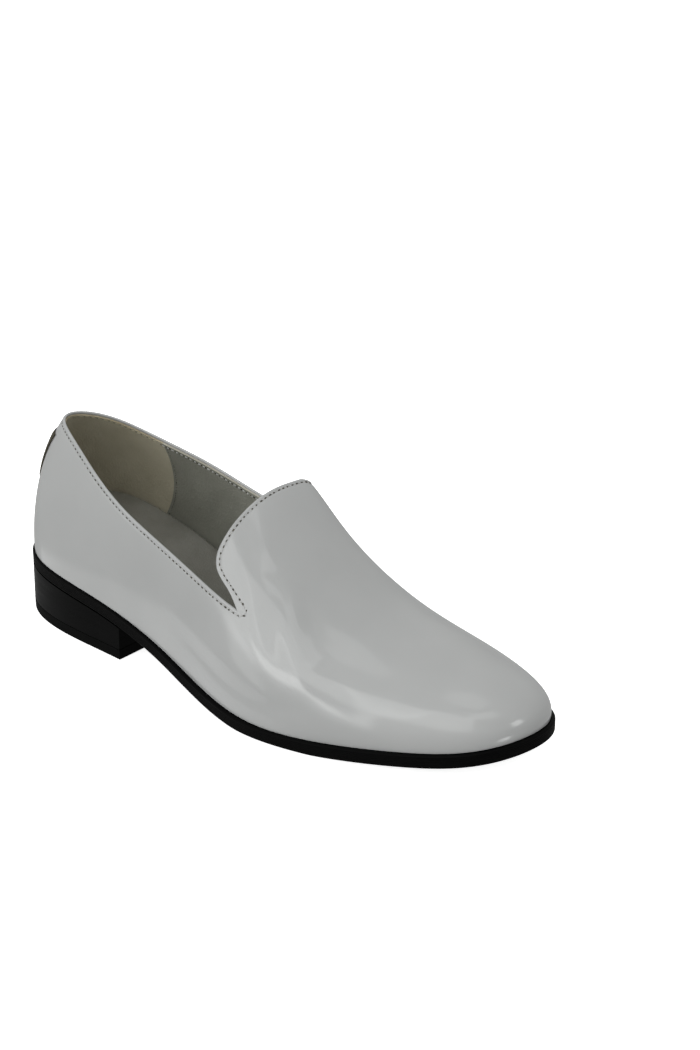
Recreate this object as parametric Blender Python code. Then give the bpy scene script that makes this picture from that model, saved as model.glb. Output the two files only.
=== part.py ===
"""A plain slip-on dress shoe for the right foot, standing empty on its sole.

The toe points along +X, the inner (medial) side of the foot lies at +Y, and the shoe stands on z = 0 with
the origin under the middle of its sole. Sizes are millimetres; a station is a distance along the foot from
the back of the heel. The feather line is the edge where the upper meets the sole. Every piece is worked out
from one form, the last: its outline at the feather line, its seat (the side profile of that line), its ridge
(the profile over the instep) and the way its walls rise from the one to the other.
"""

from collections import namedtuple
from math import pi

import bmesh
import bpy
import numpy as np

MM = 0.001
LATERAL = -1
MEDIAL = 1

# Driving dimensions of the last
LAST_LENGTH = 294.0
TOE_SWING = 8.0
RIDGE_HEEL = 40.0
RIDGE_TOE = 36.0

# Driving dimensions of the upper: where the top line has its notch and the tongue-shaped vamp ends
UPPER_THICKNESS = 2.0
NOTCH = 170.0
NOTCH_FOOT = 182.0

# Driving dimensions of the sole, the heel and the insole
SOLE_THICKNESS = 6.2
SOLE_CHAMFER = 0.8
LEDGE_HEEL = 1.0
LEDGE_FOREPART = 1.9
LEDGE_STATIONS = (70.0, 130.0)
HEEL_BREAST = 85.0
HEEL_FLARE = 0.3
TOP_PIECE_THICKNESS = 5.0
INSOLE_CLEARANCE = 1.0

# Driving dimensions of the tab over the back seam: its heights, and how far it reaches round the heel
TAB_TOP = 90.5
TAB_FOOT = 65.5
TAB_TURN_TOP = 0.315
TAB_TURN_FOOT = 0.215
TAB_THICKNESS = 0.7

# Cemented faces are drawn this far apart
SEAM_GAP = 0.3

# Mesh resolution
OUTLINE_STEPS = 36
HEEL_STEPS = 16
QUARTER_COLUMNS = 16
VAMP_COLUMNS = 20
UPPER_ROWS = 18
ROW_CROWDING = 1.4
PATH_SAMPLES = 240
INSOLE_LEVELS = 4
TAB_COLUMNS = 16
TAB_ROWS = 8

# Half widths of the last at the feather line
Plan = namedtuple("Plan", "station lateral medial")
PLAN = (
    Plan(8, 18, 18.5),
    Plan(22, 27, 27.5),
    Plan(45, 32.5, 32),
    Plan(80, 35, 31),
    Plan(115, 38.5, 29),
    Plan(150, 46.5, 33),
    Plan(180, 51.3, 41.5),
    Plan(205, 48.6, 47),
    Plan(228, 42.8, 48.5),
    Plan(250, 35.7, 45.5),
    Plan(270, 27.5, 38),
    Plan(285, 16.2, 28),
)

# Height of the feather line: raised heel, arch, flat ball and toe spring
Seat = namedtuple("Seat", "station height")
SEAT = (
    Seat(0, 31),
    Seat(40, 29),
    Seat(80, 24),
    Seat(115, 16),
    Seat(150, 8.8),
    Seat(180, 6.2),
    Seat(205, 6.2),
    Seat(230, 7.8),
    Seat(255, 10.4),
    Seat(275, 13.4),
    Seat(294, 17.5),
)

# Ridge over the instep, carried on over the open heel so that the heel walls lean towards it
Ridge = namedtuple("Ridge", "station height side")
RIDGE = (
    Ridge(0, 112, 0),
    Ridge(40, 112, 0),
    Ridge(80, 112, 2),
    Ridge(110, 109, 9),
    Ridge(130, 101.4, 14),
    Ridge(150, 92, 18.5),
    Ridge(170, 76, 11.5),
    Ridge(190, 61, 9),
    Ridge(210, 50.5, 7.5),
    Ridge(230, 44.5, 7),
    Ridge(250, 41, 7),
    Ridge(265, 39, 7.5),
    Ridge(294, 35.5, 8),
)

# Walls: outward bulge, and the powers that make a side or the top of a section fuller below 1
Wall = namedtuple("Wall", "station bulge lateral medial top")
WALL = (
    Wall(0, 0.0, 1.1, 1.1, 1.0),
    Wall(40, 1.0, 1.3, 1.0, 1.0),
    Wall(80, 2.0, 1.05, 0.9, 1.0),
    Wall(120, 2.5, 0.9, 0.65, 0.85),
    Wall(150, 2.0, 0.81, 0.7, 0.85),
    Wall(175, 1.5, 0.85, 0.89, 0.78),
    Wall(205, 1.5, 0.85, 0.95, 0.95),
    Wall(250, 1.5, 1.0, 1.0, 1.0),
    Wall(294, 1.5, 1.0, 1.0, 0.9),
)

# Height of the top line from the back seam to the notch
Top = namedtuple("Top", "station lateral medial")
TOP = (
    Top(0, 98.6, 98.6),
    Top(15, 96, 96),
    Top(40, 88.8, 89.5),
    Top(80, 74.7, 81.2),
    Top(115, 65.7, 72.6),
    Top(150, 57, 64.7),
    Top(180, 50.5, 57),
)

# How far the vamp's edge lies behind the notch, from the notch (share 0) up to the ridge (share 1)
Tongue = namedtuple("Tongue", "share lateral medial")
TONGUE = (
    Tongue(0, 0, 0),
    Tongue(0.02, 6.5, 6.5),
    Tongue(0.045, 17, 15.5),
    Tongue(0.075, 21.7, 19.5),
    Tongue(0.12, 23.6, 21.4),
    Tongue(0.2, 24.3, 22),
    Tongue(0.34, 24, 21.5),
    Tongue(0.6, 23.2, 20.4),
    Tongue(0.85, 22.6, 20),
    Tongue(1, 21.5, 21.5),
)

# Thickness of the insole: a wedge under the heel that runs out towards the ball
Insole = namedtuple("Insole", "station thickness")
INSOLE = (
    Insole(0, 20),
    Insole(30, 20.5),
    Insole(54, 17.5),
    Insole(75, 15.5),
    Insole(100, 12.5),
    Insole(130, 9),
    Insole(160, 5.5),
    Insole(185, 3.5),
    Insole(210, 2.5),
    Insole(294, 2.5),
)

for leftover in list(bpy.data.objects):
    bpy.data.objects.remove(leftover, do_unlink=True)


def spline(xs, ys):
    """Natural cubic spline through the points, as a function that holds its end values outside them."""
    xs = np.asarray(xs, float)
    ys = np.asarray(ys, float)
    step = np.diff(xs)
    slope = np.diff(ys) / step
    count = len(xs)
    system = np.eye(count)
    right = np.zeros(count)
    for i in range(1, count - 1):
        system[i, i - 1] = step[i - 1]
        system[i, i] = 2 * (step[i - 1] + step[i])
        system[i, i + 1] = step[i]
        right[i] = 6 * (slope[i] - slope[i - 1])
    bend = np.linalg.solve(system, right)

    def at(x):
        x = np.clip(np.asarray(x, float), xs[0], xs[-1])
        i = np.clip(np.searchsorted(xs, x) - 1, 0, count - 2)
        before = x - xs[i]
        after = xs[i + 1] - x
        cubic = (bend[i] * after**3 + bend[i + 1] * before**3) / (6 * step[i])
        first = (ys[i] / step[i] - bend[i] * step[i] / 6) * after
        last = (ys[i + 1] / step[i] - bend[i + 1] * step[i] / 6) * before
        return cubic + first + last

    return at


def column(table, name):
    """Spline of one column of a table over its stations."""
    return spline([row.station for row in table], [getattr(row, name) for row in table])


def turn_of(station):
    """Turn round the feather line, 0 at the heel's back and pi at the toe, for a station."""
    return np.arccos(np.clip(1 - 2 * np.asarray(station, float) / LAST_LENGTH, -1, 1))


def station_of(turn):
    return LAST_LENGTH * (1 - np.cos(turn)) / 2


def on_side(turn, side):
    """The same turn on the lateral side (0 to pi) or on the medial side (pi to 2 pi)."""
    return turn if side == LATERAL else 2 * pi - turn


def outline_spline():
    """Side of the feather line over the turn: a closed spline, made by repeating its points at both ends."""
    turns = [0.0] + [float(turn_of(row.station)) for row in PLAN] + [pi]
    turns += [2 * pi - float(turn_of(row.station)) for row in reversed(PLAN)]
    sides = [0.0] + [-row.lateral for row in PLAN] + [TOE_SWING] + [row.medial for row in reversed(PLAN)]
    lap = 5
    before = [turn - 2 * pi for turn in turns[-lap:]]
    after = [turn + 2 * pi for turn in turns[:lap]]
    return spline(before + turns + after, sides[-lap:] + sides + sides[:lap])


feather_side = outline_spline()
seat = column(SEAT, "height")
ridge_height = column(RIDGE, "height")
ridge_side = column(RIDGE, "side")
wall_bulge = column(WALL, "bulge")
wall_top = column(WALL, "top")
wall_side = {LATERAL: column(WALL, "lateral"), MEDIAL: column(WALL, "medial")}
top_line = {LATERAL: column(TOP, "lateral"), MEDIAL: column(TOP, "medial")}
tongue_behind = {
    LATERAL: spline([row.share for row in TONGUE], [row.lateral for row in TONGUE]),
    MEDIAL: spline([row.share for row in TONGUE], [row.medial for row in TONGUE]),
}
insole_thickness = column(INSOLE, "thickness")


def feather(turn):
    """Points of the feather line in plan."""
    return np.stack([station_of(turn), feather_side(np.mod(turn, 2 * pi))], -1)


def outward(turn):
    """Unit normals of the feather line in plan, pointing out of the shoe."""
    nudge = 1e-3
    along = feather(turn + nudge) - feather(turn - nudge)
    normal = np.stack([along[..., 1], -along[..., 0]], -1)
    return normal / np.linalg.norm(normal, axis=-1, keepdims=True)


def last_surface(turn, rise):
    """Points of the last: rise goes from 0 at the feather line to pi / 2 on the ridge."""
    turn = np.mod(turn, 2 * pi)
    foot = feather(turn)
    station = foot[..., 0]
    reach = (LAST_LENGTH - RIDGE_HEEL - RIDGE_TOE) / LAST_LENGTH
    summit = RIDGE_HEEL + station * reach
    side_power = np.where(turn <= pi, wall_side[LATERAL](station), wall_side[MEDIAL](station))
    inward = 1 - np.cos(rise) ** side_power
    bulge = wall_bulge(station) * np.sin(2 * rise)
    out = outward(turn)
    x = station + (summit - station) * inward + out[..., 0] * bulge
    y = foot[..., 1] + (ridge_side(summit) - foot[..., 1]) * inward + out[..., 1] * bulge
    low = seat(station)
    z = low + (ridge_height(x) - low) * np.sin(rise) ** wall_top(station)
    return np.stack([x, y, z], -1)


def rise_at(turn, height):
    """Rise at which the last reaches a height, found by a few rounds of correction."""
    station = station_of(turn)
    low = seat(station)
    rise = np.full_like(np.asarray(turn, float), 0.6)
    for _ in range(12):
        crest = ridge_height(last_surface(turn, rise)[..., 0])
        share = np.clip((height - low) / (crest - low), 0, 1)
        rise = np.arcsin(share ** (1 / wall_top(station)))
    return rise


def last_normal(turn, rise):
    """Unit normals of the last, pointing out of the shoe."""
    nudge = 1e-3
    rise = np.clip(rise, nudge, pi / 2 - nudge)
    along = last_surface(turn + nudge, rise) - last_surface(turn - nudge, rise)
    up = last_surface(turn, rise + nudge) - last_surface(turn, rise - nudge)
    normal = np.cross(along, up)
    return normal / np.linalg.norm(normal, axis=-1, keepdims=True)


def spaced(turn, rise, shares):
    """Turns and rises at the given shares of the length of a path over the last."""
    steps = np.diff(last_surface(turn, rise), axis=0)
    length = np.concatenate([[0], np.cumsum(np.linalg.norm(steps, axis=1))])
    wanted = length[-1] * shares
    return np.interp(wanted, length, turn), np.interp(wanted, length, rise)


def quarter_column(share, side):
    """Path of a column of the quarters, up from the feather line; share is 0 at the back, 1 at the notch."""
    along = np.linspace(0, 1, PATH_SAMPLES)
    turn_top = on_side(share * turn_of(NOTCH), side)
    turn_foot = on_side(share * turn_of(NOTCH_FOOT), side)
    rise_top = rise_at(turn_top, top_line[side](station_of(turn_top)))
    return turn_foot + (turn_top - turn_foot) * along, rise_top * along


def tongue_edge(side):
    """Turns and rises of the vamp's edge from the notch to the ridge, evenly spaced along it."""
    share = (1 - np.cos(np.linspace(0, pi, PATH_SAMPLES))) / 2
    rise_notch = rise_at(on_side(turn_of(NOTCH), side), top_line[side](NOTCH))
    turn = on_side(turn_of(NOTCH - tongue_behind[side](share)), side)
    rise = rise_notch + (pi / 2 - rise_notch) * share
    return spaced(turn, rise, np.linspace(0, 1, VAMP_COLUMNS + 1))


def vamp_column(number, side, edge):
    """Path of a column of the vamp: up from the feather line and back over the instep to the vamp's edge."""
    share = number / VAMP_COLUMNS
    turn_end = edge[0][number]
    rise_end = edge[1][number]
    turn_foot = on_side(turn_of(NOTCH_FOOT) + (pi - turn_of(NOTCH_FOOT)) * share, side)
    along = np.linspace(0, 1, PATH_SAMPLES)
    if number == VAMP_COLUMNS:
        rise = rise_end * np.clip(2 * along, 0, 1)
        turn = turn_foot + (turn_end - turn_foot) * np.clip(2 * along - 1, 0, 1)
        return turn, rise
    start = (1 - along) ** 2
    corner = 2 * share / (1 - share) * along * (1 - along)
    end = along**2
    turn = (turn_foot * (start + corner) + turn_end * end) / (start + corner + end)
    rise = rise_end * (corner + end) / (start + corner + end)
    return turn, rise


def upper_columns(side):
    """Turns and rises of all columns of one side of the upper, from the back seam to the middle of the toe."""
    edge = tongue_edge(side)
    paths = [quarter_column(i / QUARTER_COLUMNS, side) for i in range(QUARTER_COLUMNS + 1)]
    paths += [vamp_column(i, side, edge) for i in range(1, VAMP_COLUMNS + 1)]
    shares = np.linspace(0, 1, UPPER_ROWS + 1) ** ROW_CROWDING
    return [spaced(turn, rise, shares) for turn, rise in paths]


def sole_ledge(station):
    """How far the sole's edge stands out from the upper."""
    return np.interp(station, LEDGE_STATIONS, (LEDGE_HEEL, LEDGE_FOREPART))


def sole_top(station):
    return seat(station) - SEAM_GAP


def sole_bottom(station):
    """Underside of the sole, flat on the ground under the ball."""
    return np.maximum(sole_top(station) - SOLE_THICKNESS, 0)


def sole_loop(turn, offset, height):
    """Loop round the sole at an offset from the feather line, with height a function of the station."""
    plan = feather(turn) + outward(turn) * np.broadcast_to(offset, turn.shape)[:, None]
    return np.column_stack([plan, height(station_of(turn))])


turns_round = np.linspace(0, 2 * pi, 2 * OUTLINE_STEPS, endpoint=False)
edge_ledge = sole_ledge(station_of(turns_round))
edge_loop = sole_loop(turns_round, edge_ledge, sole_top)
MIDDLE = (edge_loop.min(0) + edge_loop.max(0)) / 2


def placed(points):
    """Points of the last's frame as metres of the shoe's frame."""
    points = np.asarray(points) - (MIDDLE[0], MIDDLE[1], 0)
    return [tuple(point) for point in points * MM]


def material(name, colour, roughness, metallic=0.0):
    made = bpy.data.materials.new(name)
    made.use_nodes = True
    shader = made.node_tree.nodes["Principled BSDF"]
    shader.inputs["Base Color"].default_value = (*colour, 1)
    shader.inputs["Roughness"].default_value = roughness
    shader.inputs["Metallic"].default_value = metallic
    return made


def add_piece(name, vertices, faces, look):
    """A closed piece from its points and faces, with the faces turned outwards and shaded smooth."""
    mesh = bpy.data.meshes.new(name)
    mesh.from_pydata(placed(vertices), [], faces)
    work = bmesh.new()
    work.from_mesh(mesh)
    bmesh.ops.recalc_face_normals(work, faces=work.faces)
    work.to_mesh(mesh)
    work.free()
    mesh.materials.append(look)
    mesh.shade_smooth()
    mesh.set_sharp_from_angle(angle=pi / 5)
    piece = bpy.data.objects.new(name, mesh)
    bpy.context.collection.objects.link(piece)
    return piece


def stacked(loops):
    """Points and faces of a solid through closed loops, capped by rungs across the first and the last loop.

    Point 0 of a loop is its end at the heel's back, and point i lies across from point count - i.
    """
    count = len(loops[0])
    vertices = np.concatenate(loops)
    faces = []
    for step in range(len(loops) - 1):
        for i in range(count):
            low = step * count
            high = low + count
            j = (i + 1) % count
            faces.append((low + i, low + j, high + j, high + i))
    for first in (0, (len(loops) - 1) * count):
        for i in range(count // 2):
            rung = [first + i, first + i + 1, first + (count - i - 1) % count, first + (count - i) % count]
            faces.append(tuple(dict.fromkeys(rung)))
    return vertices, faces


def heel_loop(offset, height):
    """Loop round the heel: its curved back and sides, closed by the straight breast across the front."""
    back = np.linspace(0, turn_of(HEEL_BREAST), HEEL_STEPS + 1)
    turn = np.concatenate([back, -back[:0:-1]])
    return sole_loop(turn, sole_ledge(station_of(turn)) + offset, height)


def level(height):
    """A height function that is the same at every station."""
    return lambda station: np.full_like(np.asarray(station, float), height)


def make_outsole(look):
    """The sole's slab, with its upper and lower edges eased."""
    inner = edge_ledge - SOLE_CHAMFER
    loops = [
        sole_loop(turns_round, inner, sole_top),
        sole_loop(turns_round, edge_ledge, lambda station: sole_top(station) - SOLE_CHAMFER),
        sole_loop(turns_round, edge_ledge, lambda station: sole_bottom(station) + SOLE_CHAMFER),
        sole_loop(turns_round, inner, sole_bottom),
    ]
    add_piece("outsole", *stacked(loops), look)


def make_heel(block_look, top_piece_look):
    """The heel's block under the sole and the flat top piece that it stands on."""
    under_sole = heel_loop(0.0, lambda station: sole_bottom(station) - SEAM_GAP)
    on_top_piece = heel_loop(HEEL_FLARE, level(TOP_PIECE_THICKNESS + SEAM_GAP))
    add_piece("heel_block", *stacked([under_sole, on_top_piece]), block_look)
    upper_face = heel_loop(HEEL_FLARE, level(TOP_PIECE_THICKNESS))
    ground_face = heel_loop(HEEL_FLARE, level(0.0))
    add_piece("heel_top_piece", *stacked([upper_face, ground_face]), top_piece_look)


def insole_loop(share):
    """Loop round the insole at a share of its thickness, clear of the wall of the upper."""
    station = station_of(turns_round)
    height = seat(station) + insole_thickness(station) * share
    rise = rise_at(turns_round, height)
    level_normal = last_normal(turns_round, rise)[:, :2]
    inset = (UPPER_THICKNESS + INSOLE_CLEARANCE) / (level_normal**2).sum(1)
    plan = last_surface(turns_round, rise)[:, :2] - level_normal * inset[:, None]
    return np.column_stack([plan, height])


def make_insole(look):
    """The insole, lying on the sole inside the upper and filling it from wall to wall."""
    loops = [insole_loop(share) for share in np.linspace(0, 1, INSOLE_LEVELS)]
    add_piece("insole", *stacked(loops), look)


def band(inner, outer):
    """Points and faces of a closed band between two grids of columns that run round the shoe."""
    columns, rows = inner.shape[:2]
    vertices = np.concatenate([inner.reshape(-1, 3), outer.reshape(-1, 3)])
    number = np.arange(columns * rows).reshape(columns, rows)
    beside = np.roll(number, -1, axis=0)
    skin = np.stack([number[:, :-1], beside[:, :-1], beside[:, 1:], number[:, 1:]], -1).reshape(-1, 4)
    faces = [skin, skin + number.size]
    for row in (0, rows - 1):
        near = number[:, row]
        far = beside[:, row]
        faces.append(np.stack([near, far, far + number.size, near + number.size], -1))
    return vertices, np.concatenate(faces).tolist()


def make_upper(look):
    """The hollow upper: one closed band from the feather line to the top line, square on the sole."""
    lateral = upper_columns(LATERAL)
    medial = upper_columns(MEDIAL)
    paths = np.array(lateral + medial[-2:0:-1])
    turn = paths[:, 0]
    rise = paths[:, 1]
    skin = last_surface(turn, rise)
    lining = skin - UPPER_THICKNESS * last_normal(turn, rise)
    lining[:, 0, 2] = skin[:, 0, 2]
    add_piece("upper", *band(lining, skin), look)


def make_back_tab(look):
    """The tab that covers the back seam below the top line, bent round the upper."""
    across, up = np.meshgrid(np.linspace(-1, 1, TAB_COLUMNS + 1), np.linspace(0, 1, TAB_ROWS + 1))
    turn = across * (TAB_TURN_FOOT + (TAB_TURN_TOP - TAB_TURN_FOOT) * up)
    rise = rise_at(turn, TAB_FOOT + (TAB_TOP - TAB_FOOT) * up)
    skin = last_surface(turn, rise)
    normal = last_normal(turn, rise)
    inner = skin + normal * SEAM_GAP
    outer = inner + normal * TAB_THICKNESS
    vertices = np.concatenate([inner.reshape(-1, 3), outer.reshape(-1, 3)])
    number = np.arange(skin[..., 0].size).reshape(skin.shape[:2])
    quads = np.stack([number[:-1, :-1], number[:-1, 1:], number[1:, 1:], number[1:, :-1]], -1).reshape(-1, 4)
    rim = np.concatenate([number[0, :-1], number[:-1, -1], number[-1, :0:-1], number[:0:-1, 0]])
    onward = np.roll(rim, -1)
    edges = np.stack([rim, onward, onward + number.size, rim + number.size], -1)
    add_piece("back_tab", vertices, np.concatenate([quads, quads + number.size, edges]).tolist(), look)


make_outsole(material("sole_black", (0.012, 0.012, 0.013), 0.5))
make_heel(
    material("heel_black", (0.014, 0.014, 0.014), 0.3),
    material("top_piece_black", (0.008, 0.008, 0.008), 0.6),
)
make_insole(material("insole_grey", (0.14, 0.14, 0.12), 0.6))
make_upper(material("white_patent", (0.72, 0.73, 0.73), 0.1))
make_back_tab(material("tab_olive_gold", (0.10, 0.085, 0.035), 0.35, 0.4))
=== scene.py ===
"""Looks of a plain slip-on dress shoe for the right foot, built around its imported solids.

Shapes are worked out in millimetres in the last's frame: a station is a distance along the foot from the back
of the heel, and the side is positive towards the inner (medial) side. Each finished mesh is moved to the
shoe's frame, in metres, with the origin on the ground under the middle of the sole.
"""

from collections import namedtuple
from math import cos, pi, radians, sin

import bmesh
import bpy
import numpy as np
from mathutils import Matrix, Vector
from mathutils.bvhtree import BVHTree


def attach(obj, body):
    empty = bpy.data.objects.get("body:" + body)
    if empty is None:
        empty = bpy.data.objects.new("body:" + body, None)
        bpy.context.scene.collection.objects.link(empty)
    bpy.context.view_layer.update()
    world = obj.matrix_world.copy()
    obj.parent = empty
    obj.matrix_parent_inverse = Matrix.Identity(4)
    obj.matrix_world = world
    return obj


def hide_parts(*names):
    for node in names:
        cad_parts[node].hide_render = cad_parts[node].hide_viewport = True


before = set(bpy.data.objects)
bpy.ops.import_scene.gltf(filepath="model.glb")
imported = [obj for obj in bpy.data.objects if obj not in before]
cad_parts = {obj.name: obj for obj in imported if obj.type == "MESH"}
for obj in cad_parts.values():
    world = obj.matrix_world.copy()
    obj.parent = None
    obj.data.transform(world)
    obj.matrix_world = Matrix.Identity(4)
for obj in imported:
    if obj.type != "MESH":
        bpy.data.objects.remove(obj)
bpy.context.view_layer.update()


# Insole: a grey leather sock glued over a wedge that lifts the heel and runs out towards the ball. It is cut
# to the outline of the last and fills the shoe from wall to wall. The last is the form that the whole shoe is
# made over: its outline at the feather line (where upper and sole meet), its seat, its ridge and its walls.

MM = 0.001
LATERAL = -1
MEDIAL = 1
LAST_LENGTH = 294.0
TOE_SWING = 8.0
RIDGE_HEEL = 40.0
RIDGE_TOE = 36.0
SOLE_MIDDLE = (147.45, -1.395)

Plan = namedtuple("Plan", "station lateral medial")
PLAN = (
    Plan(8, 18, 18.5),
    Plan(22, 27, 27.5),
    Plan(45, 32.5, 32),
    Plan(80, 35, 31),
    Plan(115, 38.5, 29),
    Plan(150, 46.5, 33),
    Plan(180, 51.3, 41.5),
    Plan(205, 48.6, 47),
    Plan(228, 42.8, 48.5),
    Plan(250, 35.7, 45.5),
    Plan(270, 27.5, 38),
    Plan(285, 16.2, 28),
)

Seat = namedtuple("Seat", "station height")
SEAT = (
    Seat(0, 31),
    Seat(40, 29),
    Seat(80, 24),
    Seat(115, 16),
    Seat(150, 8.8),
    Seat(180, 6.2),
    Seat(205, 6.2),
    Seat(230, 7.8),
    Seat(255, 10.4),
    Seat(275, 13.4),
    Seat(294, 17.5),
)

Ridge = namedtuple("Ridge", "station height side")
RIDGE = (
    Ridge(0, 112, 0),
    Ridge(40, 112, 0),
    Ridge(80, 112, 2),
    Ridge(110, 109, 9),
    Ridge(130, 101.4, 14),
    Ridge(150, 92, 18.5),
    Ridge(170, 76, 11.5),
    Ridge(190, 61, 9),
    Ridge(210, 50.5, 7.5),
    Ridge(230, 44.5, 7),
    Ridge(250, 41, 7),
    Ridge(265, 39, 7.5),
    Ridge(294, 35.5, 8),
)

Wall = namedtuple("Wall", "station bulge lateral medial top")
WALL = (
    Wall(0, 0.0, 1.1, 1.1, 1.0),
    Wall(40, 1.0, 1.3, 1.0, 1.0),
    Wall(80, 2.0, 1.05, 0.9, 1.0),
    Wall(120, 2.5, 0.9, 0.65, 0.85),
    Wall(150, 2.0, 0.81, 0.7, 0.85),
    Wall(175, 1.5, 0.85, 0.89, 0.78),
    Wall(205, 1.5, 0.85, 0.95, 0.95),
    Wall(250, 1.5, 1.0, 1.0, 1.0),
    Wall(294, 1.5, 1.0, 1.0, 0.9),
)

Insole = namedtuple("Insole", "station thickness")
INSOLE = (
    Insole(0, 20),
    Insole(30, 20.5),
    Insole(54, 17.5),
    Insole(75, 15.5),
    Insole(100, 12.5),
    Insole(130, 9),
    Insole(160, 5.5),
    Insole(185, 3.5),
    Insole(210, 2.5),
    Insole(294, 2.5),
)
INSOLE_CLEARANCE = 2.55
INSOLE_ROUNDING = 1.4
INSOLE_WALL_SHARES = (1, 0.6, 0.3, 0)
INSOLE_EDGE_STEPS = 4
INSOLE_TOP_SHARES = (0.1, 0.3, 0.6, 0.9)
INSOLE_DISH = 1.6
INSOLE_DISH_THICKNESS = 20
OUTLINE_STEPS = 120
OUTLINE_LAP = 5
RISE_START = 0.6
RISE_ROUNDS = 12
NUDGE = 1e-3
CLOUD_SPAN = (0.3, 0.7)


def spline(xs, ys):
    """Natural cubic spline through the points, as a function that holds its end values outside them."""
    xs = np.asarray(xs, float)
    ys = np.asarray(ys, float)
    step = np.diff(xs)
    slope = np.diff(ys) / step
    count = len(xs)
    system = np.eye(count)
    right = np.zeros(count)
    for i in range(1, count - 1):
        system[i, i - 1] = step[i - 1]
        system[i, i] = 2 * (step[i - 1] + step[i])
        system[i, i + 1] = step[i]
        right[i] = 6 * (slope[i] - slope[i - 1])
    bend = np.linalg.solve(system, right)

    def at(x):
        x = np.clip(np.asarray(x, float), xs[0], xs[-1])
        i = np.clip(np.searchsorted(xs, x) - 1, 0, count - 2)
        before = x - xs[i]
        after = xs[i + 1] - x
        cubic = (bend[i] * after**3 + bend[i + 1] * before**3) / (6 * step[i])
        first = (ys[i] / step[i] - bend[i] * step[i] / 6) * after
        last = (ys[i + 1] / step[i] - bend[i + 1] * step[i] / 6) * before
        return cubic + first + last

    return at


def column(table, name):
    """Spline of one column of a table over its stations."""
    return spline([row.station for row in table], [getattr(row, name) for row in table])


def turn_of(station):
    """Turn round the feather line, 0 at the heel's back and pi at the toe, for a station."""
    return np.arccos(np.clip(1 - 2 * np.asarray(station, float) / LAST_LENGTH, -1, 1))


def station_of(turn):
    return LAST_LENGTH * (1 - np.cos(turn)) / 2


def on_side(turn, side):
    """The same turn on the lateral side (0 to pi) or on the medial side (pi to 2 pi)."""
    return turn if side == LATERAL else 2 * pi - turn


def outline_spline():
    """Side of the feather line over the turn: a closed spline, made by repeating its points at both ends."""
    turns = [0.0] + [float(turn_of(row.station)) for row in PLAN] + [pi]
    turns += [2 * pi - float(turn_of(row.station)) for row in reversed(PLAN)]
    sides = [0.0] + [-row.lateral for row in PLAN] + [TOE_SWING] + [row.medial for row in reversed(PLAN)]
    before = [turn - 2 * pi for turn in turns[-OUTLINE_LAP:]]
    after = [turn + 2 * pi for turn in turns[:OUTLINE_LAP]]
    return spline(before + turns + after, sides[-OUTLINE_LAP:] + sides + sides[:OUTLINE_LAP])


feather_side = outline_spline()
seat = column(SEAT, "height")
ridge_height = column(RIDGE, "height")
ridge_side = column(RIDGE, "side")
wall_bulge = column(WALL, "bulge")
wall_top = column(WALL, "top")
wall_side = {LATERAL: column(WALL, "lateral"), MEDIAL: column(WALL, "medial")}
insole_thickness = column(INSOLE, "thickness")


def feather(turn):
    """Points of the feather line in plan."""
    return np.stack([station_of(turn), feather_side(np.mod(turn, 2 * pi))], -1)


def outward(turn):
    """Unit normals of the feather line in plan, pointing out of the shoe."""
    along = feather(turn + NUDGE) - feather(turn - NUDGE)
    normal = np.stack([along[..., 1], -along[..., 0]], -1)
    return normal / np.linalg.norm(normal, axis=-1, keepdims=True)


def last_surface(turn, rise):
    """Points of the last: rise goes from 0 at the feather line to pi / 2 on the ridge."""
    turn = np.mod(turn, 2 * pi)
    foot = feather(turn)
    station = foot[..., 0]
    reach = (LAST_LENGTH - RIDGE_HEEL - RIDGE_TOE) / LAST_LENGTH
    summit = RIDGE_HEEL + station * reach
    side_power = np.where(turn <= pi, wall_side[LATERAL](station), wall_side[MEDIAL](station))
    inward = 1 - np.abs(np.cos(rise)) ** side_power
    bulge = wall_bulge(station) * np.sin(2 * rise)
    out = outward(turn)
    x = station + (summit - station) * inward + out[..., 0] * bulge
    y = foot[..., 1] + (ridge_side(summit) - foot[..., 1]) * inward + out[..., 1] * bulge
    low = seat(station)
    z = low + (ridge_height(x) - low) * np.sin(rise) ** wall_top(station)
    return np.stack([x, y, z], -1)


def rise_at(turn, height):
    """Rise at which the last reaches a height, found by a few rounds of correction."""
    station = station_of(turn)
    low = seat(station)
    rise = np.full_like(np.asarray(turn, float), RISE_START)
    for _ in range(RISE_ROUNDS):
        crest = ridge_height(last_surface(turn, rise)[..., 0])
        share = np.clip((height - low) / (crest - low), 0, 1)
        rise = np.arcsin(share ** (1 / wall_top(station)))
    return rise


def last_normal(turn, rise):
    """Unit normals of the last, pointing out of the shoe."""
    rise = np.clip(rise, NUDGE, pi / 2 - NUDGE)
    along = last_surface(turn + NUDGE, rise) - last_surface(turn - NUDGE, rise)
    up = last_surface(turn, rise + NUDGE) - last_surface(turn, rise - NUDGE)
    normal = np.cross(along, up)
    return normal / np.linalg.norm(normal, axis=-1, keepdims=True)


def placed(points):
    """Points of the last's frame as metres of the shoe's frame."""
    return (np.asarray(points) - (SOLE_MIDDLE[0], SOLE_MIDDLE[1], 0)) * MM


def add_piece(name, vertices, faces, looks, sharp_angle=40):
    """A closed piece from its points and faces, with the faces turned outwards and shaded smooth."""
    mesh = bpy.data.meshes.new(name)
    mesh.from_pydata([tuple(point) for point in placed(vertices)], [], faces)
    work = bmesh.new()
    work.from_mesh(mesh)
    bmesh.ops.recalc_face_normals(work, faces=work.faces)
    work.to_mesh(mesh)
    work.free()
    for look in looks:
        mesh.materials.append(look)
    mesh.shade_smooth()
    mesh.set_sharp_from_angle(angle=radians(sharp_angle))
    piece = bpy.data.objects.new(name, mesh)
    bpy.context.collection.objects.link(piece)
    return piece


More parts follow.
